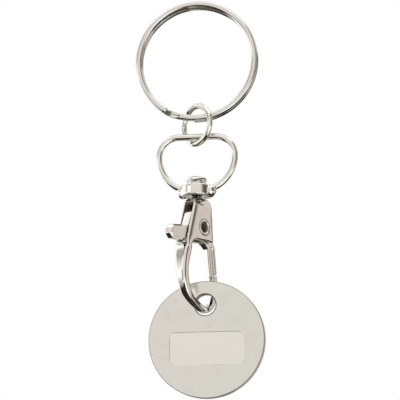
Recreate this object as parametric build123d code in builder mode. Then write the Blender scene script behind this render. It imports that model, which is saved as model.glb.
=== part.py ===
from build123d import *
import os
from math import cos, pi, radians, sin

# Coin keyring: a split ring, a jump ring, a swivel eye, a trigger clasp and a token
# coin that hangs on the clasp's hook.
# Millimetres, +Z up, as it hangs. The origin is the centre of the split ring, whose
# axis is Y. The coin faces -Y. The clasp stands turned about the vertical axis.

# Split ring: flat wire wound twice, with a step between the two layers
ring_radius = 12.5
ring_wire_radial = 1.3
ring_wire_axial = 1.2
ring_layer_gap = 0.1
ring_edge_round = 0.35
# Angles run from the bottom of the ring over its left side
front_end_angle = 31
step_end_angle = 31
step_start_angle = 13
rear_end_angle = 2.6

# Jump ring: round wire, butted ends
jump_radius = 4.45
jump_wire = 1.2
jump_turn = -38
jump_slit = 0.1
jump_slit_angle = 170
jump_top_rise = 1.9

# Swivel eye: a bent round wire bow on a collar
eye_width = 16.7
eye_wire = 1.3
eye_seat_rise = 0.1
eye_corner_radius = 3.95
eye_side_radius = 7.14
collar_diameter = 6.4
collar_height = 2.3
collar_drop = 9.9
collar_edge = 0.3
lobe_diameter = 2.6
lobe_spread = 5.6
lobe_drop = 0.1

# Swivel rivet: a domed head on a post that is pressed into the clasp
post_diameter = 2.2
post_swivel_gap = 0.08
press_gap = 0.02
head_diameter = 4.1
head_height = 1.75
head_rim = 1.0
head_step = 0.25
head_flat_diameter = 1.6
head_round_share = 0.62
head_gap = 0.08
post_grip = 1.25

# Clasp body: a slotted housing that runs on into the hook
clasp_turn = 60
body_gap = 0.5
body_height = 8.7
body_thickness = 3.6
body_spine_top = 2.2
body_gate_top = 2.0
body_spine_low = 4.55
body_gate_low = 3.3
body_shoulder = 0.75
body_edge_round = 0.4
body_top_bevel = 0.75
body_top_inset = 0.45
body_corner = 0.5
arch_rise = 0.2
arch_reach = 1.3
arch_shoulder = 2.7
arch_foot = 3.35
spine_foot = 1.5
slot_width = 2.15
roof_thickness = 1.3
slot_mouth_drop = 0.6
slot_roof_spine = 1.8
slot_roof_slope = 0.6
slot_roof_gate = 2.3
slot_side_drop = 6.2
slot_floor_drop = 9.3
slot_floor_reach = 2.5
hook_spine_reach = 5.4
hook_gate_reach = 5.7
hook_drop = 22.75
hook_wire = 1.5
hook_spine_depth = 1.9
hook_width_top = 3.6
nose_drop = 14.7
nose_slope_drop = 0.66
nose_gap = 0.16

# Pivot rivet: tubular, rolled over on both cheeks
pivot_offset = 0.3
pivot_drop = 5.9
pivot_diameter = 2.2
pivot_bore = 1.6
pivot_head = 3.2
pivot_head_height = 0.35
pivot_head_round = 0.15
pivot_run_gap = 0.05

# Trigger lever: thumb knob, web and gate in one casting
lever_thickness = 1.85
lever_hub_radius = 1.8
web_top_gap = 1.95
web_corner = 0.6
knob_reach = 9.0
knob_height = 3.2
knob_rise = 0.1
knob_slope = 0.4
knob_corner = 0.85
knob_bevel = 0.42
gate_width = 1.5
gate_tip_width = 1.3
gate_root_reach = 4.85
gate_root_depth = 2.15
gate_end = 2.0
gate_inset = 0.2
gate_bevel = 0.3
recess_depth = 0.95
recess_radius = 1.5
leg_notch_depth = 0.35
leg_notch_back = 1.3

# Trigger spring: round wire wound about the pivot rivet
spring_wire = 0.22
spring_radius = 1.3
spring_turns = 2.25
spring_pitch = 0.28
spring_side_gap = 0.15
spring_leg = 3.3
spring_tail = 0.8
spring_notch = 0.4

# Coin: a turned disc with a hole and a shallow blank panel
coin_diameter = 23.25
coin_thickness = 2.0
coin_edge = 0.18
coin_hole_diameter = 4.2
coin_hole_edge = 0.25
coin_hole_offset = 6.9
coin_hole_x = 1.5
coin_hole_rise = 1.6
coin_lean = 0.2
coin_behind = 2.0
panel_length = 14.7
panel_height = 6.5
panel_corner = 1.2
panel_depth = 0.12
panel_drop = 1.8

# One overrun serves every cut
overrun = 1.0

os.makedirs("parts", exist_ok=True)

# Places that follow from the sizes above
layer_offset = (ring_wire_axial + ring_layer_gap) / 2
ring_inner_radius = ring_radius - ring_wire_radial
ring_mean_radius = ring_radius - ring_wire_radial / 2
jump_mean_radius = jump_radius - jump_wire / 2
jump_z = -(ring_inner_radius + jump_top_rise)
jump_floor_z = jump_z - jump_mean_radius + jump_wire / 2
eye_bar_z = jump_floor_z + eye_seat_rise + eye_wire / 2
collar_top_z = eye_bar_z - collar_drop
collar_low_z = collar_top_z - collar_height
body_top_z = collar_low_z - body_gap
body_low_z = body_top_z - body_height
pivot_z = body_top_z - pivot_drop
hook_low_z = body_top_z - hook_drop
hook_hole_z = hook_low_z + coin_hole_rise
coin_z = hook_hole_z - coin_hole_offset

# The clasp's own planes: local x runs from the spine to the gate, local y is up and
# the normal is the pivot's axis
turn = radians(clasp_turn)
to_gate = Vector(cos(turn), sin(turn), 0)
pivot_axis = Vector(sin(turn), -cos(turn), 0)


def clasp_plane(side=0.0):
    return Plane(origin=pivot_axis * side, x_dir=to_gate, z_dir=pivot_axis)


# Split ring
def ring_plane(angle, offset):
    a = radians(angle)
    outward = Vector(-sin(a), 0, -cos(a))
    along = Vector(cos(a), 0, -sin(a))
    return Plane(origin=outward * ring_mean_radius + Vector(0, offset, 0), x_dir=outward, z_dir=along)


step_turn = step_end_angle - step_start_angle
front_turn = 360 - front_end_angle + step_start_angle
rear_turn = 360 - step_end_angle + rear_end_angle
step_sections = 6
with BuildPart() as split_ring:
    for start_angle, arc, side in (
        (front_end_angle, front_turn, -layer_offset),
        (step_end_angle, rear_turn, layer_offset),
    ):
        with BuildSketch(ring_plane(start_angle, side)):
            RectangleRounded(ring_wire_radial, ring_wire_axial, ring_edge_round)
        revolve(axis=Axis.Y, revolution_arc=arc)
    for index in range(step_sections + 1):
        share = index / step_sections
        side = -layer_offset * cos(pi * share)
        with BuildSketch(ring_plane(step_start_angle + step_turn * share, side)):
            RectangleRounded(ring_wire_radial, ring_wire_axial, ring_edge_round)
    loft()
split_ring.part.label = "split_ring"

# Jump ring
jump_yaw = radians(jump_turn)
jump_plane = Plane(
    origin=(0, 0, jump_z),
    x_dir=(cos(jump_yaw), sin(jump_yaw), 0),
    z_dir=(sin(jump_yaw), -cos(jump_yaw), 0),
)
slit_turn = 360 * jump_slit / (2 * pi * jump_mean_radius)
slit_radians = radians(jump_slit_angle)
slit_direction = jump_plane.x_dir * cos(slit_radians) + Vector(0, 0, 1) * sin(slit_radians)
with BuildPart() as jump_ring:
    with BuildSketch(
        Plane(
            origin=jump_plane.origin + slit_direction * jump_mean_radius,
            x_dir=slit_direction,
            z_dir=jump_plane.z_dir.cross(slit_direction),
        )
    ):
        Circle(jump_wire / 2)
    revolve(axis=Axis(jump_plane.origin, jump_plane.z_dir), revolution_arc=360 - slit_turn)
jump_ring.part.label = "jump_ring"

# Swivel eye
eye_half = (eye_width - eye_wire) / 2
eye_flat = eye_half - eye_corner_radius
eye_wide_z = eye_bar_z - eye_corner_radius
eye_side_x = eye_half - eye_side_radius
lobe_x = lobe_spread / 2
lobe_z = (collar_top_z + collar_low_z) / 2 - lobe_drop
eye_foot_x = lobe_x + lobe_diameter / 5
eye_foot_z = eye_wide_z - (eye_side_radius**2 - (eye_foot_x - eye_side_x) ** 2) ** 0.5
with BuildPart() as swivel_eye:
    with BuildSketch(Plane.XY.offset(collar_low_z)):
        Circle(collar_diameter / 2)
    extrude(amount=collar_height)
    fillet(swivel_eye.edges().filter_by(GeomType.CIRCLE), radius=collar_edge)
    with BuildLine(Plane.XZ) as bow:
        Line((-eye_flat, eye_bar_z), (eye_flat, eye_bar_z))
        for hand in (-1, 1):
            CenterArc((hand * eye_flat, eye_wide_z), eye_corner_radius, 90, -hand * 90)
            RadiusArc(
                (hand * eye_half, eye_wide_z),
                (hand * eye_foot_x, eye_foot_z),
                hand * eye_side_radius,
            )
    with BuildSketch(Plane(origin=bow.wire() @ 0, z_dir=bow.wire() % 0)):
        Circle(eye_wire / 2)
    sweep(path=bow.wire())
    with Locations((-lobe_x, 0, lobe_z), (lobe_x, 0, lobe_z)):
        Sphere(lobe_diameter / 2)
    with BuildSketch(Plane.XY.offset(collar_low_z - overrun)):
        Circle(post_diameter / 2 + post_swivel_gap)
    extrude(amount=collar_height + overrun * 2, mode=Mode.SUBTRACT)
swivel_eye.part.label = "swivel_eye"

# Swivel rivet
head_low_z = collar_top_z + head_gap
head_top_z = head_low_z + head_height
post_low_z = body_top_z - post_grip
with BuildPart() as swivel_rivet:
    with BuildSketch(Plane.XZ):
        with BuildLine():
            Polyline(
                (0, head_top_z),
                (0, post_low_z),
                (post_diameter / 2, post_low_z),
                (post_diameter / 2, head_low_z),
                (head_diameter / 2, head_low_z),
                (head_diameter / 2, head_low_z + head_rim - head_step),
                (head_diameter / 2 - head_step / 2, head_low_z + head_rim),
                (head_diameter / 2 - head_step, head_low_z + head_rim),
            )
            ThreePointArc(
                (head_diameter / 2 - head_step, head_low_z + head_rim),
                (
                    (head_diameter / 2 - head_step) * head_round_share
                    + head_flat_diameter / 2 * (1 - head_round_share),
                    head_top_z - (head_height - head_rim) / 3,
                ),
                (head_flat_diameter / 2, head_top_z),
            )
            Line((head_flat_diameter / 2, head_top_z), (0, head_top_z))
        make_face()
    revolve(axis=Axis.Z)
swivel_rivet.part.label = "swivel_rivet"

# Clasp body. Each row of the hook's table is one section of its bar: its place toward
# the spine or gate, its place down the hook, its depth in the hook's plane and its width
# along the pivot's axis, all as shares, and last its turn from the vertical
hook_section_shares = (
    (-0.64, 0.352, 1.06, 1.00, 12),
    (-0.74, 0.465, 1.02, 0.93, 9),
    (-0.82, 0.587, 0.97, 0.77, 3),
    (-0.795, 0.715, 0.93, 0.66, -12),
    (-0.60, 0.828, 0.88, 0.57, -30),
    (-0.325, 0.893, 0.84, 0.47, -50),
    (0.01, 0.938, 0.81, 0.40, -62),
    (0.22, 0.9605, 0.79, 0.38, -72),
    (0.44, 0.9685, 0.78, 0.375, -92),
    (0.74, 0.935, 0.75, 0.375, -137),
    (0.905, 0.855, 0.76, 0.39, -167),
    (0.92, 0.785, 0.77, 0.39, -180),
    (0.915, 0.715, 0.86, 0.39, -183),
    (0.90, 0.61, 1.05, 0.39, -185),
)
hook_corner_share = 0.36


def hook_plane(reach, drop, lean):
    angle = radians(lean)
    down = to_gate * -sin(angle) + Vector(0, 0, -cos(angle))
    across = to_gate * cos(angle) + Vector(0, 0, -sin(angle))
    place = to_gate * (hook_spine_reach * reach) + Vector(0, 0, body_top_z - hook_drop * drop)
    return Plane(origin=place, x_dir=across, z_dir=down)


# The nose and the gate meet on one slope, which stops the gate as it closes
nose_run = hook_wire * 2
nose_slope = nose_slope_drop / hook_wire
nose_z = body_top_z - nose_drop
spine_slope = (body_spine_low - body_spine_top) / (body_height - body_shoulder)
roof_z = body_top_z - roof_thickness
mouth_z = body_top_z - slot_mouth_drop
slot_floor_z = body_top_z - slot_floor_drop
body_spine_foot = body_spine_low + spine_slope * spine_foot / 2
slot_side_z = body_top_z - slot_side_drop
pivot_place = (pivot_offset, pivot_z)


def spine_at(z):
    return -(body_spine_top + spine_slope * (body_top_z - body_shoulder - z))


with BuildPart() as housing:
    with BuildSketch(clasp_plane(-body_thickness / 2)):
        with BuildLine():
            Polyline(
                (-body_spine_low, body_low_z),
                (-body_spine_top, body_top_z - body_shoulder),
                (-body_spine_top + body_shoulder, body_top_z),
                (body_gate_top, body_top_z),
                (body_gate_top + body_shoulder, body_top_z - body_shoulder),
                (body_gate_low, body_low_z),
                (arch_reach, body_low_z + arch_rise),
                (-arch_reach, body_low_z + arch_rise),
            )
            Spline(
                (-arch_reach, body_low_z + arch_rise),
                (-arch_shoulder, body_low_z - arch_rise),
                (-arch_foot, body_low_z - spine_foot),
                tangents=((-1, 0), (0, -1)),
            )
            Polyline(
                (-arch_foot, body_low_z - spine_foot),
                (-body_spine_foot, body_low_z - spine_foot),
                (-body_spine_low, body_low_z),
            )
        make_face()
    extrude(amount=body_thickness)
    top_rims = housing.faces().sort_by(Axis.Z)[-1].edges().filter_by(
        lambda edge: abs(abs(edge.center().dot(pivot_axis)) - body_thickness / 2) < press_gap
    )
    chamfer(top_rims, length=body_top_bevel, length2=body_top_inset)
    cheek_rims = housing.edges().filter_by(
        lambda edge: abs(abs(edge.center().dot(pivot_axis)) - body_thickness / 2) < press_gap
    )
    fillet(cheek_rims, radius=body_edge_round)
with BuildPart() as clasp_body:
    for reach, drop, depth_share, width_share, lean in hook_section_shares:
        with BuildSketch(hook_plane(reach, drop, lean)):
            depth = hook_spine_depth * depth_share
            width = hook_width_top * width_share
            RectangleRounded(depth, width, min(depth, width) * hook_corner_share)
    loft()
    with BuildSketch(clasp_plane(-body_thickness)):
        with BuildLine():
            Polyline(
                (hook_gate_reach + nose_run, nose_z + nose_slope * nose_run),
                (hook_gate_reach + nose_run, nose_z + nose_run * 2),
                (0, nose_z + nose_run * 2),
                (hook_gate_reach - nose_run, nose_z - nose_slope * nose_run),
                close=True,
            )
        make_face()
    extrude(amount=body_thickness * 2, mode=Mode.SUBTRACT)
    add(housing.part)
    with BuildSketch(clasp_plane(-slot_width / 2)):
        with BuildLine():
            Polyline(
                (-body_spine_low - overrun, mouth_z),
                (-slot_roof_spine - slot_roof_slope, mouth_z),
                (-slot_roof_spine, roof_z),
                (slot_roof_gate, roof_z),
                (slot_roof_gate, slot_side_z),
                (body_gate_low + overrun, slot_side_z - body_corner),
                (body_gate_low + overrun, body_low_z - overrun),
                (-slot_floor_reach, body_low_z - overrun),
                (-slot_floor_reach, slot_floor_z + body_corner),
                (-slot_floor_reach - body_corner, slot_floor_z),
                (-body_spine_low - overrun, slot_floor_z),
                close=True,
            )
        make_face()
    extrude(amount=slot_width, mode=Mode.SUBTRACT)
    with BuildSketch(clasp_plane(-body_thickness)):
        with Locations(pivot_place):
            Circle(pivot_diameter / 2 + press_gap)
    extrude(amount=body_thickness * 2, mode=Mode.SUBTRACT)
    with BuildSketch(Plane.XY.offset(roof_z - overrun)):
        Circle(post_diameter / 2 + press_gap)
    extrude(amount=roof_thickness + overrun * 2, mode=Mode.SUBTRACT)
clasp_body.part.label = "clasp_body"

# The spring's wire, wound about the pivot
spring_side = -slot_width / 2 + spring_wire / 2 + spring_side_gap
spring_frame = Plane(
    origin=to_gate * pivot_offset + Vector(0, 0, pivot_z) + pivot_axis * spring_side,
    x_dir=to_gate,
    z_dir=pivot_axis,
)
spring_coil = spring_frame * Helix(
    spring_pitch, spring_turns * spring_pitch, spring_radius, lefthand=True
)
spring_path = Wire(
    [
        Edge.make_line(spring_coil @ 0 - spring_coil % 0 * spring_leg, spring_coil @ 0),
        spring_coil.edge(),
        Edge.make_line(spring_coil @ 1, spring_coil @ 1 + spring_coil % 1 * spring_tail),
    ]
)
tail_angle = -2 * pi * spring_turns
tail_place = (
    pivot_offset + spring_radius * cos(tail_angle) - spring_tail / 2,
    pivot_z + spring_radius * sin(tail_angle),
)

# Trigger lever
knob_top_z = pivot_z + knob_rise
knob_low_z = knob_top_z - knob_height
web_top_z = mouth_z - web_top_gap
hub_share = 0.75
gate_outer = hook_gate_reach - gate_inset
gate_inner = gate_outer - gate_end
gate_outer_z = nose_z - nose_slope * gate_inset + nose_gap
gate_inner_z = gate_outer_z - nose_slope * gate_end
gate_root_z = body_low_z - body_corner
with BuildPart() as gate:
    with BuildSketch(clasp_plane(-gate_width / 2)):
        with BuildLine():
            Polyline(
                (pivot_offset + lever_hub_radius * hub_share, pivot_z),
                (pivot_offset + lever_hub_radius, pivot_z - web_corner),
                (gate_root_reach, gate_root_z),
                (gate_outer, gate_outer_z),
                (gate_inner, gate_inner_z),
                (gate_root_reach - gate_root_depth, gate_root_z - web_corner),
            )
            ThreePointArc(
                (gate_root_reach - gate_root_depth, gate_root_z - web_corner),
                (pivot_offset, gate_root_z + gate_root_depth / 3),
                (-slot_floor_reach, knob_low_z + knob_rise),
            )
            Polyline(
                (-slot_floor_reach, knob_low_z + knob_rise),
                (-slot_floor_reach, pivot_z),
                (pivot_offset + lever_hub_radius * hub_share, pivot_z),
            )
        make_face()
    extrude(amount=gate_width)
    # Its sides draw in from the housing's foot to the tip
    for side in (-1, 1):
        with BuildSketch(Plane(origin=(0, 0, 0), x_dir=pivot_axis, z_dir=to_gate)):
            with BuildLine():
                Polyline(
                    (side * gate_width / 2, gate_root_z),
                    (side * gate_tip_width / 2, gate_inner_z),
                    (side * gate_width, gate_inner_z),
                    close=True,
                )
            make_face()
        extrude(amount=hook_gate_reach + overrun, mode=Mode.SUBTRACT)
    gate_rims = gate.edges().filter_by(
        lambda edge: edge.center().Z < gate_root_z and edge.length > gate_end + overrun
    )
    fillet(gate_rims, radius=gate_bevel)
with BuildPart() as trigger_lever:
    with BuildSketch(clasp_plane(-lever_thickness / 2)):
        with BuildLine():
            Polyline(
                (pivot_offset, knob_top_z),
                (-body_spine_low, knob_top_z),
                (-knob_reach + knob_corner, knob_top_z - knob_slope),
                (-knob_reach, knob_top_z - knob_slope - knob_corner),
                (-knob_reach, knob_low_z + knob_corner),
                (-knob_reach + knob_corner, knob_low_z),
                (-body_spine_low, knob_low_z),
                (-slot_floor_reach, knob_low_z + knob_rise),
                (pivot_offset, knob_low_z + knob_rise),
                (pivot_offset, knob_top_z),
            )
        make_face()
    extrude(amount=lever_thickness)
    knob_rims = trigger_lever.edges().filter_by(
        lambda edge: edge.center().dot(to_gate) < -body_spine_low
        and abs(abs(edge.center().dot(pivot_axis)) - lever_thickness / 2) < press_gap
    )
    chamfer(knob_rims, length=knob_bevel)
    with BuildSketch(clasp_plane(-lever_thickness / 2)):
        with BuildLine():
            Polyline(
                (spine_at(knob_top_z), knob_top_z - knob_rise),
                (spine_at(knob_top_z), knob_top_z),
                (spine_at(web_top_z), web_top_z - web_corner),
                (spine_at(web_top_z) + web_corner, web_top_z),
                (pivot_offset - web_corner, web_top_z - web_corner / 2),
                (
                    pivot_offset + lever_hub_radius * hub_share,
                    pivot_z + lever_hub_radius * (1 - hub_share**2) ** 0.5,
                ),
                (pivot_offset, knob_top_z - knob_rise),
                close=True,
            )
        make_face()
        with Locations(pivot_place):
            Circle(lever_hub_radius)
    extrude(amount=lever_thickness)
    add(gate.part)
    with BuildSketch(clasp_plane(-lever_thickness)):
        with Locations(pivot_place):
            Circle(pivot_diameter / 2 + pivot_run_gap)
    extrude(amount=lever_thickness * 2, mode=Mode.SUBTRACT)
    with BuildSketch(clasp_plane(-lever_thickness / 2)):
        with Locations(pivot_place):
            Circle(recess_radius)
        with Locations(tail_place):
            Rectangle(spring_tail + spring_notch, spring_notch)
    extrude(amount=recess_depth, mode=Mode.SUBTRACT)
    with BuildSketch(clasp_plane(-lever_thickness / 2)):
        with BuildLine():
            Polyline(
                (pivot_offset, pivot_z),
                (pivot_offset - leg_notch_back, web_top_z + overrun),
                (pivot_offset + lever_hub_radius + overrun, web_top_z + overrun),
                (pivot_offset + lever_hub_radius + overrun, pivot_z),
                close=True,
            )
        make_face()
    extrude(amount=leg_notch_depth, mode=Mode.SUBTRACT)
trigger_lever.part.label = "trigger_lever"

# Pivot rivet
with BuildPart() as pivot_rivet:
    with BuildSketch(clasp_plane(-body_thickness / 2)):
        with Locations(pivot_place):
            Circle(pivot_diameter / 2)
    extrude(amount=body_thickness)
    for side in (-body_thickness / 2 - pivot_head_height, body_thickness / 2):
        with BuildSketch(clasp_plane(side)):
            with Locations(pivot_place):
                Circle(pivot_head / 2)
        extrude(amount=pivot_head_height)
    head_rims = pivot_rivet.edges().filter_by(GeomType.CIRCLE).filter_by(
        lambda edge: edge.radius > pivot_diameter / 2
        and abs(edge.arc_center.dot(pivot_axis)) > body_thickness / 2 + pivot_head_height / 2
    )
    fillet(head_rims, radius=pivot_head_round)
    with BuildSketch(clasp_plane(-body_thickness)):
        with Locations(pivot_place):
            Circle(pivot_bore / 2)
    extrude(amount=body_thickness * 2, mode=Mode.SUBTRACT)
    bore_rims = pivot_rivet.edges().filter_by(GeomType.CIRCLE).filter_by(
        lambda edge: abs(edge.radius - pivot_bore / 2) < press_gap
    )
    fillet(bore_rims, radius=pivot_head_round)
pivot_rivet.part.label = "pivot_rivet"

# Trigger spring: its coil lies in the lever's recess, its long leg bears up inside the
# housing and its short tail lies in a notch of the recess
with BuildPart() as trigger_spring:
    with BuildSketch(Plane(origin=spring_path @ 0, z_dir=spring_path % 0)):
        Circle(spring_wire / 2)
    sweep(path=spring_path)
trigger_spring.part.label = "trigger_spring"

# Coin
coin_hole_place = (coin_hole_x, hook_hole_z)
coin_x = coin_hole_x + coin_lean
coin_front = coin_behind - coin_thickness / 2
with BuildPart() as coin:
    with BuildSketch(Plane.XZ.offset(-coin_behind - coin_thickness / 2)):
        with Locations((coin_x, coin_z)):
            Circle(coin_diameter / 2)
    extrude(amount=coin_thickness)
    fillet(coin.edges().filter_by(GeomType.CIRCLE), radius=coin_edge)
    with BuildSketch(Plane.XZ.offset(-coin_behind - coin_thickness)):
        with Locations(coin_hole_place):
            Circle(coin_hole_diameter / 2)
    extrude(amount=coin_thickness * 2, mode=Mode.SUBTRACT)
    hole_rims = coin.edges().filter_by(GeomType.CIRCLE).filter_by(
        lambda edge: abs(edge.radius - coin_hole_diameter / 2) < coin_hole_edge
    )
    chamfer(hole_rims, length=coin_hole_edge)
    with BuildSketch(Plane.XZ.offset(-coin_front - panel_depth)):
        with Locations((coin_x, coin_z - panel_drop)):
            RectangleRounded(panel_length, panel_height, panel_corner)
    extrude(amount=panel_depth + overrun, mode=Mode.SUBTRACT)
coin.part.label = "coin"

for piece in (
    split_ring,
    jump_ring,
    swivel_eye,
    swivel_rivet,
    clasp_body,
    trigger_lever,
    pivot_rivet,
    trigger_spring,
    coin,
):
    export_step(piece.part, "parts/" + piece.part.label + ".step")
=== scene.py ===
from math import cos, pi, radians, sin

import bmesh
import bpy
from mathutils import Matrix, Vector
from mathutils.bvhtree import BVHTree


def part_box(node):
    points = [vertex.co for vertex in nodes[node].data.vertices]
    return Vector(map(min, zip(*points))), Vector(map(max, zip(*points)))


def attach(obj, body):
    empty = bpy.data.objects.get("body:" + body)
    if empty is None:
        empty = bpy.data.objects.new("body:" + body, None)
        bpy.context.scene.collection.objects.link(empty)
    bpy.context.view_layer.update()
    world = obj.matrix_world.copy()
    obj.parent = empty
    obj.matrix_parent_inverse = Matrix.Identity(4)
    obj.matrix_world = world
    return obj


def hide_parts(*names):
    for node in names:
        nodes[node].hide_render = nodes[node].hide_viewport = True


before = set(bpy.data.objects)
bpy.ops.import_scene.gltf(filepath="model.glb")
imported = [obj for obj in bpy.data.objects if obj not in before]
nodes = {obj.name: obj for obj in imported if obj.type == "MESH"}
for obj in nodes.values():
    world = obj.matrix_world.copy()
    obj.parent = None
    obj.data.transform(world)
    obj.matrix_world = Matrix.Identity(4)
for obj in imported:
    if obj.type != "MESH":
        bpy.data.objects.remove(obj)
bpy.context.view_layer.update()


# Split ring: hardened flat wire wound twice round, the two layers pressed together and
# crossing over in one short step at the lower left. Both cut ends show there. It is
# tumbled, then nickel plated and polished.
mm = 0.001


class Value:
    """A socket of a node tree, so that the maths of a material reads as plain sums."""

    def __init__(self, tree, out):
        self.tree = tree
        self.out = out

    def node(self, kind, settings, inputs, result=0):
        """One result of a new node, from its kind, its settings and its sockets."""
        made = self.tree.nodes.new(kind)
        for name, value in settings.items():
            setattr(made, name, value)
        for name, value in inputs.items():
            if isinstance(value, Value):
                self.tree.links.new(value.out, made.inputs[name])
            else:
                made.inputs[name].default_value = value
        return Value(self.tree, made.outputs[result])

    def maths(self, operation, first, second=0):
        return self.node("ShaderNodeMath", {"operation": operation}, {0: first, 1: second})

    def __add__(self, other):
        return self.maths("ADD", self, other)

    def __sub__(self, other):
        return self.maths("SUBTRACT", self, other)

    def __rsub__(self, other):
        return self.maths("SUBTRACT", other, self)

    def __mul__(self, other):
        return self.maths("MULTIPLY", self, other)

    def __abs__(self):
        return self.maths("ABSOLUTE", self)

    __radd__ = __add__
    __rmul__ = __mul__

    def vector(self, operation, other=(0, 0, 0), result=0):
        """Vector Math of this place with another, where result 1 is a number."""
        return self.node("ShaderNodeVectorMath", {"operation": operation}, {0: self, 1: other}, result)

    def split(self):
        """The x, y and z of this place."""
        return [self.node("ShaderNodeSeparateXYZ", {}, {0: self}, k) for k in range(3)]

    def spread(self, low, high):
        """0 below low, 1 above high and smooth between them."""
        return self.node(
            "ShaderNodeMapRange",
            {"interpolation_type": "SMOOTHSTEP"},
            {"Value": self, "From Min": low, "From Max": high},
        )

    def noise(self, size, detail, seed):
        """Soft noise with lumps of about this size in metres."""
        return self.node(
            "ShaderNodeTexNoise",
            {"noise_dimensions": "4D"},
            {"Vector": self, "Scale": 1 / size, "Detail": detail, "W": seed},
            "Fac",
        )

    def stretched(self, scale):
        """This place with each of its axes multiplied by a number of its own."""
        return self.node("ShaderNodeMapping", {}, {"Vector": self, "Scale": scale})

    def mixed(self, low, high):
        """The colour low where this value is 0 and high where it is 1."""
        low, high = (c if isinstance(c, Value) else (*c, 1) for c in (low, high))
        return self.node("ShaderNodeMix", {"data_type": "RGBA"}, {0: self, 6: low, 7: high}, 2)


def new_material(name, metallic=1.0):
    """A new material, its shader and the place on the piece, in metres."""
    made = bpy.data.materials.new(name)
    made.use_nodes = True
    tree = made.node_tree
    shader = tree.nodes["Principled BSDF"]
    shader.inputs["Metallic"].default_value = metallic
    place = Value(tree, None).node("ShaderNodeTexCoord", {}, {}, "Object")
    return made, shader, place


def feed(shader, name, value):
    """Links this value to a socket of the shader."""
    value.tree.links.new(value.out, shader.inputs[name])


def raised(height, depth, below=None):
    """A normal from a height, where 1 stands this deep in metres."""
    inputs = {"Height": height, "Distance": depth, "Strength": 1.0}
    if below is not None:
        inputs["Normal"] = below
    return height.node("ShaderNodeBump", {}, inputs)


def plated(name, tint, dull, fleck, seed, painted_dark=None):
    """Polished nickel plate of this tint: fingered patches, hairline scratches and the
    faint waviness that tumbling leaves under the plate. Dull adds roughness, fleck scales
    the waves, and the last argument gives the places where painted shade and painted dark reflections
    darken the plate."""
    made, shader, place = new_material(name)
    patches = place.noise(2.6 * mm, 3, seed).spread(0.38, 0.66)
    film = place.noise(0.7 * mm, 4, seed + 3).spread(0.45, 0.8)
    darker = tuple(c * 0.93 for c in tint)
    colour = (patches * 0.6 + film * 0.4).mixed(tint, darker)
    # Painted shade and painted dark reflections: where the mask is 1, the plate is painted dark and made
    # less metallic
    if painted_dark is not None:
        painted_amount = painted_dark(place)
        colour = painted_amount.mixed(colour, (0.17, 0.15, 0.10))
        feed(shader, "Metallic", 1 - painted_amount * 0.85)
    feed(shader, "Base Color", colour)
    hairlines = place.stretched((1, 1, 0.06)).noise(0.05 * mm, 2, seed + 7).spread(0.58, 0.75)
    feed(shader, "Roughness", patches * 0.05 + film * 0.04 + hairlines * 0.05 + dull * 0.5)
    waves = place.noise(1.6 * mm, 1, seed + 11)
    pits = place.noise(0.16 * mm, 2, seed + 13)
    normal = raised(waves, fleck * 0.02 * mm)
    feed(shader, "Normal", raised(pits, fleck * 0.0015 * mm, normal))
    return made


def tube_mesh(name, rings, closed=False):
    """A skin over rings of points, each ring joined to the next, with filled ends."""
    mesh = bpy.data.meshes.new(name)
    work = bmesh.new()
    made = [[work.verts.new(point) for point in ring] for ring in rings]
    count = len(made[0])
    pairs = list(zip(made, made[1:])) + ([(made[-1], made[0])] if closed else [])
    for one, two in pairs:
        for k in range(count):
            n = (k + 1) % count
            work.faces.new((one[k], one[n], two[n], two[k]))
    if not closed:
        work.faces.new(made[0][::-1])
        work.faces.new(made[-1])
    bmesh.ops.recalc_face_normals(work, faces=work.faces)
    work.to_mesh(mesh)
    work.free()
    piece = bpy.data.objects.new(name, mesh)
    bpy.context.scene.collection.objects.link(piece)
    mesh.shade_smooth()
    return piece


def flat_wire(deep, wide, corner, crown, steps=5):
    """The outline of a flat wire: corners rounded, its outer and inner sides crowned."""
    points = []
    for quarter in range(4):
        cx = (deep / 2 - corner) * (1 if quarter in (0, 3) else -1)
        cy = (wide / 2 - corner) * (1 if quarter in (0, 1) else -1)
        for k in range(steps + 1):
            angle = pi / 2 * (quarter + k / steps)
            points.append((cx + corner * cos(angle), cy + corner * sin(angle)))
        side = 1 if quarter in (0, 3) else -1
        for share in (0.25, 0.5, 0.75):
            if quarter in (0, 2):
                points.append((cx * (1 - 2 * share), side * wide / 2))
            else:
                bulge = crown * 4 * share * (1 - share)
                points.append((side * (deep / 2 + bulge), cy * (1 - 2 * share)))
    return points


ring_radius, ring_deep, ring_wide = 12.48 * mm, 1.3 * mm, 1.2 * mm
ring_corner, ring_crown = 0.47 * mm, 0.06 * mm
ring_side = 0.65 * mm  # each layer's middle lies this far in front of or behind the ring's
# Turns are in degrees from the lowest point, first over the left side
ring_start, ring_end, ring_step = 31.0, 722.6, 1.5
cross_start, cross_turn = 373, 18
rear_shift, rear_settle = 0.24 * mm, 60  # the rear layer sags inward at the top
ring_wobble = 0.012 * mm
cut_ends = (0.86, 0.97)  # the wire's thickness at a cut end and one step from it
ring_line = flat_wire(ring_deep - 2 * ring_crown, ring_wide, ring_corner, ring_crown)
turns = []
while ring_start + ring_step * len(turns) < ring_end:
    turns.append(ring_start + ring_step * len(turns))
turns.append(ring_end)
ring_rings = []
for index, turn in enumerate(turns):
    crossed = min(max((turn - cross_start) / cross_turn, 0), 1)
    side = -ring_side * cos(pi * crossed)
    a = radians(turn)
    outward = Vector((-sin(a), 0, -cos(a)))
    centre = outward * (ring_radius - ring_deep / 2) + Vector((0, side, 0))
    centre += outward * ring_wobble * sin(a * 2 + 0.6)
    if turn > cross_start:
        settled = min((turn - cross_start) / rear_settle, 1)
        centre += outward * rear_shift * min(cos(a), 0) * settled
    from_end = min(index, len(turns) - 1 - index)
    draw_in = cut_ends[from_end] if from_end < 2 else 1
    ring_rings.append(
        [centre + outward * (x * draw_in) + Vector((0, y * draw_in, 0)) for x, y in ring_line]
    )
split_ring = tube_mesh("split_ring_wire", ring_rings)


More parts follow.
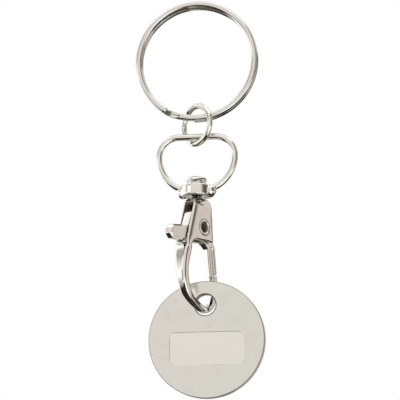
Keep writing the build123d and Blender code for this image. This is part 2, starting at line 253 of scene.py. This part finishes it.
def seam_painted_shade(place):
    """1 in the seam between the two layers, where the crease is painted dark as painted shade."""
    ragged = place.noise(0.9 * mm, 3, 31) * 0.1 * mm
    return 1 - (abs(place.split()[1]) + ragged).spread(0.1 * mm, 0.26 * mm)


# The seam between the two layers is painted dark: painted shade
ring_plate = plated("ring_plate", (0.785, 0.785, 0.76), 0.07, 0.5, 1.0, seam_painted_shade)
split_ring.data.materials.append(ring_plate)
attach(split_ring, "ring")
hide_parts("split_ring")

# Jump ring: round wire bent to a small ring, its two cut ends pushed together, and
# nickel plated. It joins the split ring to the swivel eye.
jump_radius, jump_wire, jump_middle = 3.85 * mm, 1.2 * mm, Vector((0, 0, -13.1)) * mm
jump_yaw, jump_slit, slit_width = radians(-38), radians(170), 0.1 * mm
jump_steps = 120
jump_x = Vector((cos(jump_yaw), sin(jump_yaw), 0))
jump_y = Vector((0, 0, 1))
jump_axis = jump_x.cross(jump_y)
jump_gap = slit_width / jump_radius
pressed_ends = (0.88, 0.97)


def round_section(centre, one, two, radius, count):
    """A circle of points round this centre, in the plane of two directions."""
    corners = [2 * pi * n / count for n in range(count)]
    return [centre + (one * cos(b) + two * sin(b)) * radius for b in corners]


jump_rings = []
for k in range(jump_steps + 1):
    a = jump_slit + jump_gap / 2 + (2 * pi - jump_gap) * k / jump_steps
    outward = jump_x * cos(a) + jump_y * sin(a)
    from_end = min(k, jump_steps - k)
    thick = jump_wire / 2 * (pressed_ends[from_end] if from_end < 2 else 1)
    jump_rings.append(round_section(jump_middle + outward * jump_radius, outward, jump_axis, thick, 24))
jump_ring = tube_mesh("jump_ring_wire", jump_rings)
jump_ring.data.materials.append(plated("jump_plate", (0.84, 0.822, 0.765), 0.06, 0.4, 2.0))
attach(jump_ring, "link")
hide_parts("jump_ring")

# Swivel eye: a round bow and its thick collar, one zinc casting. The bow runs into a lobe
# on each side of the collar. The casting is tumbled, nickel plated and polished.
def lathe(name, profile, middle, axis, steps=96):
    """A profile of (radius, distance along the axis) turned about the axis."""
    axis = Vector(axis).normalized()
    one = axis.orthogonal().normalized()
    two = axis.cross(one)
    rings = []
    for k in range(steps):
        a = 2 * pi * k / steps
        outward = one * cos(a) + two * sin(a)
        rings.append([Vector(middle) + outward * r + axis * h for r, h in profile])
    return tube_mesh(name, rings, closed=True)


def tumbled(name, mesh, turned, grain, rounds, formed=None, soft=None, kept=None):
    """A closed skin over the mesh, its edges rounded as tumbling rounds a casting's. It is
    made along the piece's own axes, where formed shapes it first. Where soft gives a point
    and a reach, it is rounded more, and where kept is true, it stays as cut."""
    mesh.materials.clear()
    mesh.transform(Matrix.Rotation(-turned, 4, "Z"))
    as_cut = BVHTree.FromPolygons([v.co for v in mesh.vertices], [p.vertices for p in mesh.polygons])
    piece = bpy.data.objects.new(name, mesh)
    bpy.context.scene.collection.objects.link(piece)
    skin = piece.modifiers.new("skin", "REMESH")
    skin.mode = "VOXEL"
    skin.voxel_size = grain
    held = bpy.context.evaluated_depsgraph_get()
    mesh = bpy.data.meshes.new_from_object(piece.evaluated_get(held))
    piece.modifiers.clear()
    piece.data = mesh
    if formed is not None:
        formed(mesh)
    worn = piece.modifiers.new("worn", "SMOOTH")
    worn.factor = 0.5
    worn.iterations = rounds
    if kept is not None:
        group = piece.vertex_groups.new(name="tumbled")
        for vertex in mesh.vertices:
            if kept(vertex.co):
                vertex.co = as_cut.find_nearest(vertex.co)[0]
            else:
                group.add([vertex.index], 1, "REPLACE")
        worn.vertex_group = "tumbled"
    if soft is not None:
        point, reach = soft
        group = piece.vertex_groups.new(name="soft")
        for vertex in mesh.vertices:
            near = 1 - (vertex.co - Vector(point)).length / reach
            if near > 0:
                group.add([vertex.index], min(near * 2, 1), "REPLACE")
        blended = piece.modifiers.new("blended", "SMOOTH")
        blended.factor = 0.5
        blended.iterations = rounds * 6
        blended.vertex_group = "soft"
    held = bpy.context.evaluated_depsgraph_get()
    mesh = bpy.data.meshes.new_from_object(piece.evaluated_get(held))
    piece.modifiers.clear()
    piece.vertex_groups.clear()
    piece.data = mesh
    mesh.transform(Matrix.Rotation(turned, 4, "Z"))
    mesh.shade_smooth()
    return piece


collar_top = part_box("swivel_eye")[0][2] + 2.45 * mm
eye_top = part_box("swivel_eye")[1][2]
bow_radius = 0.65 * mm
bar_half, shoulder_bend = 3.75 * mm, 3.95 * mm
side_middle, side_bend, side_turn = 0.56 * mm, 7.14 * mm, 1.176
bow_half = []  # from the middle of the top bar, round the shoulder and down to the collar
for k in range(13):
    a = pi / 2 * k / 12
    bow_half.append((bar_half + shoulder_bend * sin(a), shoulder_bend * (1 - cos(a))))
for k in range(1, 17):
    a = side_turn * k / 16
    bow_half.append((side_middle + side_bend * cos(a), shoulder_bend + side_bend * sin(a)))
bow_line = [Vector((-x, 0, eye_top - bow_radius - down)) for x, down in bow_half[::-1]]
bow_line += [Vector((x, 0, eye_top - bow_radius - down)) for x, down in bow_half]
bow_rings = []
for k, centre in enumerate(bow_line):
    along = (bow_line[min(k + 1, len(bow_line) - 1)] - bow_line[max(k - 1, 0)]).normalized()
    forward = Vector((0, 1, 0))
    bow_rings.append(round_section(centre, forward.cross(along), forward, bow_radius, 32))
bow = tube_mesh("bow", bow_rings)
collar_profile = [
    (1.18, -2.3), (2.9, -2.3), (3.12, -2.2), (3.2, -2.0), (3.2, -0.3), (3.12, -0.1), (2.9, 0), (1.18, 0),
]
collar_profile = [(r * mm, h * mm) for r, h in collar_profile]
collar = lathe("collar", collar_profile, (0, 0, collar_top), (0, 0, 1), 160)
lobes = ((-2.8, 0.4, 1.3), (2.72, -0.75, 1.38))  # x, y and radius in mm
lobe_drop = 1.27 * mm
eye_work = bmesh.new()
eye_work.from_mesh(bow.data)
eye_work.from_mesh(collar.data)
for x, y, lobe_radius in lobes:
    bmesh.ops.create_uvsphere(
        eye_work,
        u_segments=40,
        v_segments=24,
        radius=lobe_radius * mm,
        matrix=Matrix.Translation((x * mm, y * mm, collar_top - lobe_drop)),
    )
eye_mesh = bpy.data.meshes.new("eye")
eye_work.to_mesh(eye_mesh)
eye_work.free()
bpy.data.objects.remove(bow)
bpy.data.objects.remove(collar)
eye = tumbled("swivel_eye_cast", eye_mesh, 0.0, 0.1 * mm, 4)
eye.data.materials.append(plated("eye_plate", (0.82, 0.82, 0.78), 0.05, 1.0, 3.0))
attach(eye, "eye")
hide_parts("swivel_eye")

# Swivel rivet: a turned steel rivet with a low domed head on the collar. Its post goes
# down through the collar and is riveted into the clasp.
head_tall, post_radius, pinhole = 1.75 * mm, 1.1 * mm, 0.02 * mm
head_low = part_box("swivel_rivet")[1][2] - head_tall
post_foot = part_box("swivel_rivet")[0][2] - head_low
rivet_profile = [
    (0.02, 1.75), (0.4, 1.745), (0.85, 1.71), (1.25, 1.62), (1.58, 1.48), (1.82, 1.30), (1.98, 1.08),
    (2.05, 0.88), (2.03, 0.72), (1.93, 0.62), (1.74, 0.56), (1.66, 0.50), (1.72, 0.43), (1.88, 0.38),
    (1.96, 0.30), (1.98, 0.12), (1.92, 0.0), (1.1, 0.0),
]
rivet_profile = [(r * mm, h * mm) for r, h in rivet_profile]
rivet_profile += [(post_radius, post_foot), (pinhole, post_foot)]


def dome_painted_reflection(place):
    """A painted dark reflection: a slanting streak across the front of the dome."""
    side, deep, tall = place.split()
    rise = tall - head_low - side * 0.25
    streak = rise.spread(0.4 * mm, 0.52 * mm) * (1 - rise.spread(0.7 * mm, 0.85 * mm))
    return streak * side.spread(-0.9 * mm, -0.1 * mm) * (1 - deep.spread(-0.3 * mm, 0))


swivel_rivet = lathe("swivel_rivet_turned", rivet_profile, (0, 0, head_low), (0, 0, 1))
# The dome carries a painted dark reflection in a slanting streak
swivel_rivet.data.materials.append(plated("rivet_plate", (0.82, 0.81, 0.765), 0.05, 0.5, 4.0, dome_painted_reflection))
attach(swivel_rivet, "clasp")
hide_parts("swivel_rivet")

# Clasp body: a slotted housing that runs on into the hook, one zinc casting, tumbled,
# plated and polished. Inside the slot the plate is painted dark as painted shade.
clasp_turn = radians(60)
pivot_axis = Vector((sin(clasp_turn), -cos(clasp_turn), 0))
body_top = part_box("clasp_body")[1][2]
pivot_low, pivot_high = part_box("pivot_rivet")
pivot_middle = [(low + high) / 2 for low, high in zip(pivot_low, pivot_high)]
slot_half = 1.075 * mm
# The cheeks in mm: where their outer skin starts and ends along y, how far they reach
# down, and where their spine and gate edges stand in x at the top and at the foot
cheek_inner, cheek_face, cheek_foot, cheek_bevel = 1.2, 1.8, 9.2, 0.75
spine_edge, gate_edge, edge_drop = (-2.2, -4.55), (2.0, 3.3), 7.95
spine_roll, spine_reach, gate_roll, gate_reach = 0.27, 1.5, 0.06, 1.3
shoulder_step, shoulder_slope = 0.26, 0.3


def eased(value, low, high):
    """0 below low, 1 above high and smooth between them."""
    share = min(max((value - low) / (high - low), 0), 1)
    return share * share * (3 - 2 * share)


def clasp_form(mesh):
    """The stepped shoulder of the mould at the top of each cheek, and the roll of the
    cheeks' edges. Here x runs to the gate and the cheeks face along y."""
    for vertex in mesh.vertices:
        x, y, z = (c / mm for c in vertex.co)
        drop = body_top / mm - z
        if abs(y) < cheek_inner or drop > cheek_foot:
            continue
        down = min(max(drop - cheek_bevel, 0) / edge_drop, 1)
        spine = spine_edge[0] + (spine_edge[1] - spine_edge[0]) * down
        gate = gate_edge[0] + (gate_edge[1] - gate_edge[0]) * down
        roll = 1 - min(max((x - spine) / spine_reach, 0), 1)
        inward = spine_roll * roll * roll * eased(drop, 0.4, 1.8) * (1 - eased(drop, 7.9, 9.2) * 0.6)
        roll = 1 - min(max((gate - x) / gate_reach, 0), 1)
        inward += gate_roll * roll * roll * eased(drop, 1.5, 3.0)
        step = shoulder_step * (1 - eased(drop, 1.3, 1.6)) + shoulder_slope * max(1.25 - drop, 0)
        side = abs(y) - inward * min((abs(y) - cheek_inner) / (cheek_face - cheek_inner), 1)
        vertex.co.y = min(side, cheek_face - step) * mm * (1 if y > 0 else -1)


def from_pivot(place):
    """The squared distance from the pivot rivet's axis."""
    offset = place.vector("SUBTRACT", pivot_middle)
    along = offset.vector("DOT_PRODUCT", pivot_axis, 1)
    length = offset.vector("LENGTH", result=1)
    return length * length - along * along


def slot_painted_shade(place):
    """1 on the walls and the roof of the slot, and in the corner round the pivot rivet, where shade is
    painted.
    """
    side = abs(place.vector("DOT_PRODUCT", pivot_axis, 1))
    tall = place.split()[2]
    inside = 1 - side.spread(slot_half + 0.02 * mm, slot_half + 0.12 * mm)
    low_roof = 1 - tall.spread(body_top - 0.9 * mm, body_top - 0.6 * mm)
    inside = inside * low_roof * tall.spread(body_top - 8.9 * mm, body_top - 8.2 * mm)
    corner = 1 - from_pivot(place).spread((1.66 * mm) ** 2, (1.82 * mm) ** 2)
    corner = corner * (1 - inside) * side.spread(1.5 * mm, 1.6 * mm)
    return inside + corner * 0.9


# The hook leaves the housing here: a point and a reach that are rounded more
hook_root = ((-3.9 * mm, 0, body_top - 8.9 * mm), 2.6 * mm)
clasp_mesh = nodes["clasp_body"].data.copy()
clasp = tumbled("clasp_cast", clasp_mesh, clasp_turn, 0.125 * mm, 5, formed=clasp_form, soft=hook_root)
# The slot and the corner round the pivot rivet are painted dark: painted shade
clasp.data.materials.append(plated("clasp_plate", (0.825, 0.812, 0.775), 0.06, 1.0, 5.0, slot_painted_shade))
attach(clasp, "clasp")
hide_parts("clasp_body")

# Trigger lever: thumb knob, web and gate, one zinc casting, tumbled and plated. It turns
# on the pivot rivet between the two cheeks, and the spring lies in a recess of its web.
gate_drop, row_tall = 9.4 * mm, 0.11 * mm
groove_place, groove_wide, groove_deep = 0.56, 0.17 * mm, 0.3 * mm
recess_reach, recess_floor = 3.6 * mm, -0.2 * mm
recess_wall, recess_ease = (1.35 * mm, 1.62 * mm), 0.12 * mm
pivot_x = Vector(pivot_middle).dot(Vector((cos(clasp_turn), sin(clasp_turn), 0)))


def lever_form(mesh):
    """A groove down both sides of the gate, between its flat inner strip and its bead."""
    rows = {}
    for vertex in mesh.vertices:
        if vertex.co.z < body_top - gate_drop and vertex.co.x > 0:
            rows.setdefault(round(vertex.co.z / row_tall), []).append(vertex)
    for row in rows.values():
        low = min(v.co.x for v in row)
        high = max(v.co.x for v in row)
        half = max(abs(v.co.y) for v in row)
        for vertex in row:
            if abs(vertex.co.y) > half * 0.5:
                across = (vertex.co.x - low - (high - low) * groove_place) / groove_wide
                depth = groove_deep * 2.72 ** (-across * across)
                vertex.co.y -= depth * (1 if vertex.co.y > 0 else -1)


def spring_recess(point):
    """True near the spring's recess in the lever's far side, which stays as machined."""
    x, z = point.x - pivot_x, point.z - pivot_middle[2]
    return point.y > recess_floor and x * x + z * z < recess_reach**2


lever_mesh = nodes["trigger_lever"].data.copy()
lever = tumbled(
    "trigger_lever_cast", lever_mesh, clasp_turn, 0.1 * mm, 6, formed=lever_form, kept=spring_recess
)
# The recess's wall is eased outward, clear of the spring's tail when the lever turns
for vertex in lever.data.vertices:
    outward = vertex.co - Vector(pivot_middle)
    along = outward.dot(-pivot_axis)
    outward += pivot_axis * along
    if along > recess_floor and recess_wall[0] < outward.length < recess_wall[1]:
        vertex.co += outward.normalized() * recess_ease
lever.data.materials.append(plated("lever_plate", (0.815, 0.81, 0.765), 0.07, 1.0, 6.0))
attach(lever, "trigger")
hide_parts("trigger_lever")

# Pivot rivet: a steel tube through both cheeks, its ends rolled over nearly flush. The
# bore is painted dark olive as painted shade.
rolled_end = [
    (0.80, 0.9), (0.84, 1.35), (0.95, 1.62), (1.08, 1.80), (1.2, 1.91), (1.33, 1.965), (1.46, 1.94),
    (1.56, 1.875), (1.6, 1.78), (1.12, 1.74),
]
pivot_profile = rolled_end + [(r, -h) for r, h in rolled_end[::-1]]
pivot_profile = [(r * mm, h * mm) for r, h in pivot_profile]


def bore_painted_shade(place):
    """1 in the bore, which is painted dark as painted shade, and 0 on the rolled ends."""
    return 1 - from_pivot(place).spread((0.95 * mm) ** 2, (1.2 * mm) ** 2)


pivot_rivet = lathe("pivot_rivet_tube", pivot_profile, pivot_middle, pivot_axis)
# The bore is painted dark: painted shade
pivot_rivet.data.materials.append(plated("tube_plate", (0.82, 0.80, 0.76), 0.07, 0.5, 7.0, bore_painted_shade))
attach(pivot_rivet, "clasp")
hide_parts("pivot_rivet")

# Trigger spring: bright round steel wire wound about the pivot rivet in the lever's
# recess, one leg against the lever and the other against the housing.
spring_mesh = nodes["trigger_spring"].data
spring_mesh.materials.clear()
spring_mesh.materials.append(plated("spring_wire", (0.55, 0.55, 0.56), 0.2, 0.5, 8.0))

# Token coin: a blanked steel disc with a punched hole, nickel plated. Its face is finely
# polished and has a shallow blank panel, a little brighter than the rest.
coin_middle, coin_radius, coin_half = Vector((1.7, 2.0, -56.35)) * mm, 11.62 * mm, 1.0 * mm
hole_middle, hole_radius = Vector((-0.2, 0, 6.9)) * mm, 2.1 * mm
panel_middle, panel_half, panel_corner = Vector((0, 0, -1.8)) * mm, (7.35 * mm, 3.25 * mm), 1.2 * mm
panel_floor, face_back = -0.88 * mm, -0.6 * mm
face_edge, back_edge = 0.1 * mm, 0.16 * mm


def round_line(middle, radius, steps):
    """A circle in the coin's plane, as (x, z)."""
    angles = [2 * pi * k / steps for k in range(steps)]
    return [(middle.x + radius * cos(a), middle.z + radius * sin(a)) for a in angles]


def panel_line():
    """The panel's outline, a rectangle with round corners, as (x, z)."""
    points = []
    for quarter, (sx, sz) in enumerate(((1, 1), (-1, 1), (-1, -1), (1, -1))):
        cx = panel_middle.x + sx * (panel_half[0] - panel_corner)
        cz = panel_middle.z + sz * (panel_half[1] - panel_corner)
        for k in range(9):
            a = pi / 2 * (quarter + k / 8)
            points.append((cx + panel_corner * cos(a), cz + panel_corner * sin(a)))
    return points


def plate_layer(outlines, front, back, edge):
    """A flat layer with these outlines from front to back along Y, its edges rounded.
    Edges are rounded inwards, so that the outlines are its real size."""
    curve = bpy.data.curves.new("layer", "CURVE")
    curve.dimensions = "2D"
    curve.fill_mode = "BOTH"
    curve.extrude = (back - front) / 2 - edge
    curve.bevel_depth = edge
    curve.bevel_resolution = 2
    curve.offset = -edge
    for line in outlines:
        spline = curve.splines.new("POLY")
        spline.points.add(len(line) - 1)
        for point, (x, z) in zip(spline.points, line):
            point.co = (x, z, 0, 1)
        spline.use_cyclic_u = True
    holder = bpy.data.objects.new("layer", curve)
    mesh = bpy.data.meshes.new_from_object(holder)
    bpy.data.objects.remove(holder)
    mesh.transform(Matrix.Translation((0, (front + back) / 2, 0)) @ Matrix.Rotation(pi / 2, 4, "X"))
    return mesh


coin_outlines = [round_line(Vector(), coin_radius, 256), round_line(hole_middle, hole_radius, 96)]
face_layer = plate_layer(coin_outlines + [panel_line()], -coin_half, face_back, face_edge)
back_layer = plate_layer(coin_outlines, panel_floor, coin_half, back_edge)
coin_work = bmesh.new()
coin_work.from_mesh(face_layer)
coin_work.from_mesh(back_layer)
coin_mesh = bpy.data.meshes.new("coin_blank")
coin_work.to_mesh(coin_mesh)
coin_work.free()
coin_mesh.transform(Matrix.Translation(coin_middle))
coin_mesh.materials.clear()
coin_mesh.shade_smooth()
coin_mesh.set_sharp_from_angle(angle=radians(12))
coin = bpy.data.objects.new("coin_blank", coin_mesh)
bpy.context.scene.collection.objects.link(coin)


def from_middle(place, middle):
    """The distance from this middle, seen from the front."""
    return place.vector("SUBTRACT", middle).stretched((1, 0, 1)).vector("LENGTH", result=1)


def coin_finish(name):
    """Fine polish over rolled sheet: a slow drift between warm and green grey, faint
    handling scratches one way and another, and a panel that is polished brighter. The rim
    and a band round the hole, with the hole's upper wall, are painted dark as painted shade and painted
    dark reflections."""
    made, shader, place = new_material(name)
    drift = place.noise(13 * mm, 1, 51).spread(0.35, 0.65)
    tone = drift.mixed((0.81, 0.80, 0.78), (0.785, 0.80, 0.77))
    handled = place.noise(2.2 * mm, 4, 53).spread(0.45, 0.75)
    tone = (handled * 0.6).mixed(tone, (0.745, 0.75, 0.725))
    wide, deep, tall = place.vector("SUBTRACT", coin_middle + panel_middle).split()
    panel = deep.spread(-0.93 * mm, -0.9 * mm) * (1 - deep.spread(-0.8 * mm, -0.7 * mm))
    for side, half in ((wide, panel_half[0]), (tall, panel_half[1])):
        panel = panel * (1 - abs(side).spread(half - 0.1 * mm, half - 0.02 * mm))
    tone = panel.mixed(tone, (0.855, 0.86, 0.835))
    # Painted shade: the rim is painted dark, standing in for the dark that its rounded edge mirrors
    rim_painted_shade = from_middle(place, coin_middle).spread(coin_radius - 0.2 * mm, coin_radius - 0.05 * mm)
    tone = rim_painted_shade.mixed(tone, (0.27, 0.255, 0.23))
    # Painted shade: a thin band round the hole and the hole's upper wall are painted nearly black
    from_hole = from_middle(place, coin_middle + hole_middle)
    hole_rise = hole_middle.z - panel_middle.z
    upper = tall.spread(hole_rise + 0.3 * mm, hole_rise + 1.2 * mm)
    edge = from_hole.spread(hole_radius + 0.01 * mm, hole_radius + 0.04 * mm)
    hole_painted_shade = upper.maths("MAXIMUM", upper, edge)
    hole_painted_shade = hole_painted_shade * (1 - from_hole.spread(hole_radius + 0.14 * mm, hole_radius + 0.24 * mm))
    tone = hole_painted_shade.mixed(tone, (0.09, 0.075, 0.05))
    feed(shader, "Base Color", tone)
    along = place.stretched((0.05, 1, 1)).noise(0.06 * mm, 2, 57).spread(0.6, 0.75)
    down = place.stretched((1, 1, 0.05)).noise(0.06 * mm, 2, 59).spread(0.63, 0.78)
    scratches = along + down
    feed(shader, "Roughness", handled * 0.04 + scratches * 0.05 - panel * 0.05 + 0.15)
    waves = place.noise(5 * mm, 1, 61)
    normal = raised(waves, 0.012 * mm)
    feed(shader, "Normal", raised(scratches, 0.0006 * mm, normal))
    return made


coin_mesh.materials.append(coin_finish("coin_plate"))
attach(coin, "token")
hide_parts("coin")

# Floor and studio: a plain pale floor well below the part, and a soft tent of light round
# it with a few cards and flags, which the polished metal mirrors.
floor_reach, floor_level = 3.0, -0.16
floor_corners = ((-1, -1), (1, -1), (1, 1), (-1, 1))
floor_mesh = bpy.data.meshes.new("floor")
floor_mesh.from_pydata(
    [(x * floor_reach, y * floor_reach, floor_level) for x, y in floor_corners], [], [(0, 1, 2, 3)]
)
floor = bpy.data.objects.new("floor", floor_mesh)
bpy.context.scene.collection.objects.link(floor)
floor.visible_glossy = False
floor_paint, floor_shader, floor_place = new_material("floor_paint", 0.0)
floor_shader.inputs["Roughness"].default_value = 0.9
floor_grain = floor_place.noise(4 * mm, 3, 21)
feed(floor_shader, "Base Color", floor_grain.mixed((0.86, 0.86, 0.85), (0.89, 0.89, 0.88)))
floor_mesh.materials.append(floor_paint)

world = bpy.data.worlds.new("studio")
bpy.context.scene.world = world
world.use_nodes = True
sky = Value(world.node_tree, None)
across, away, up = sky.node("ShaderNodeTexCoord", {}, {}, "Generated").split()
degrees = 180 / pi
round_about = sky.maths("ARCTAN2", across, 0 - away) * degrees  # 0 is in front, + to the right
height = sky.maths("ARCSINE", up) * degrees


def between(value, low, high, soft=4):
    """1 where the value is from low to high."""
    return value.spread(low - soft, low + soft) * (1 - value.spread(high - soft, high + soft))


# Grey card in front, white silk on the left and above, a dark table far below
behind_left = (0 - round_about).spread(157, 161)
tent = between(round_about, -28, 40, 8).mixed((0.74, 0.67, 0.63), (0.86, 0.82, 0.765))
cards = [
    (between(round_about, -150, -33), (1.25, 1.24, 1.22)),  # white silk on the left
    # grey and dark cards that the hook's outer face and its near edge mirror
    (between(round_about, -81, -59, 5) * between(height, 10, 38, 6), (0.48, 0.46, 0.44)),
    (between(round_about, -82, -58, 5) * between(height, -30, -12, 6), (0.55, 0.53, 0.50)),
    (
        between(round_about, -60, -38, 6) * (between(height, 15, 38, 3) + between(height, -18, 4, 3)),
        (0.14, 0.13, 0.12),
    ),
    (height.spread(40, 52), (1.25, 1.25, 1.23)),  # white silk above
    ((0 - height).spread(22, 32), (0.035, 0.024, 0.015)),  # dark table below
    (between(round_about, 8, 72) * between(height, -54, -10), (1.2, 1.18, 1.15)),  # low white card
    (between(round_about, 50, 90, 11) * between(height, -8, 50, 5), (0.14, 0.12, 0.10)),  # dark flag
    # cards for the cheeks' shoulder and the lever's web
    (round_about.spread(92, 104) * between(height, 25, 43, 4), (0.74, 0.71, 0.67)),
    (between(round_about, -82, -58, 5) * between(height, 38, 52, 4), (0.88, 0.87, 0.83)),
    # flags behind, on the right and on the left, and the grey wall between them
    (between(round_about, 121, 140, 6) * (1 - height.spread(16, 24)), (0.07, 0.055, 0.045)),
    (between(round_about, -158, -144, 3), (0.19, 0.17, 0.15)),
    (behind_left, (0.42, 0.40, 0.37)),
    (behind_left * height.spread(2, 6), (0.86, 0.85, 0.83)),
]
for card, tone in cards:
    tent = card.mixed(tent, tone)
seen = sky.node("ShaderNodeLightPath", {}, {}, "Is Camera Ray")
feed(world.node_tree.nodes["Background"], "Color", seen.mixed(tent, (1, 1, 1)))

# Camera: a long lens a little to the part's right and below its middle, at the angle of
# the photograph.
camera_data = bpy.data.cameras.new("camera")
camera = bpy.data.objects.new("camera", camera_data)
bpy.context.scene.collection.objects.link(camera)
camera_data.lens = 181
camera_data.sensor_width = 36
camera_data.clip_start = 0.01
camera_data.clip_end = 20
azimuth, elevation, distance = radians(10), radians(-10.5), 0.4
aim = Vector((0, 0, -34 * mm))
camera_data.shift_x, camera_data.shift_y = 0.008, 0.068
toward = Vector((sin(azimuth) * cos(elevation), -cos(azimuth) * cos(elevation), sin(elevation)))
camera.location = aim + toward * distance
camera.rotation_euler = toward.to_track_quat("Z", "Y").to_euler()
bpy.context.scene.camera = camera

bpy.context.scene.view_settings.view_transform = "Standard"
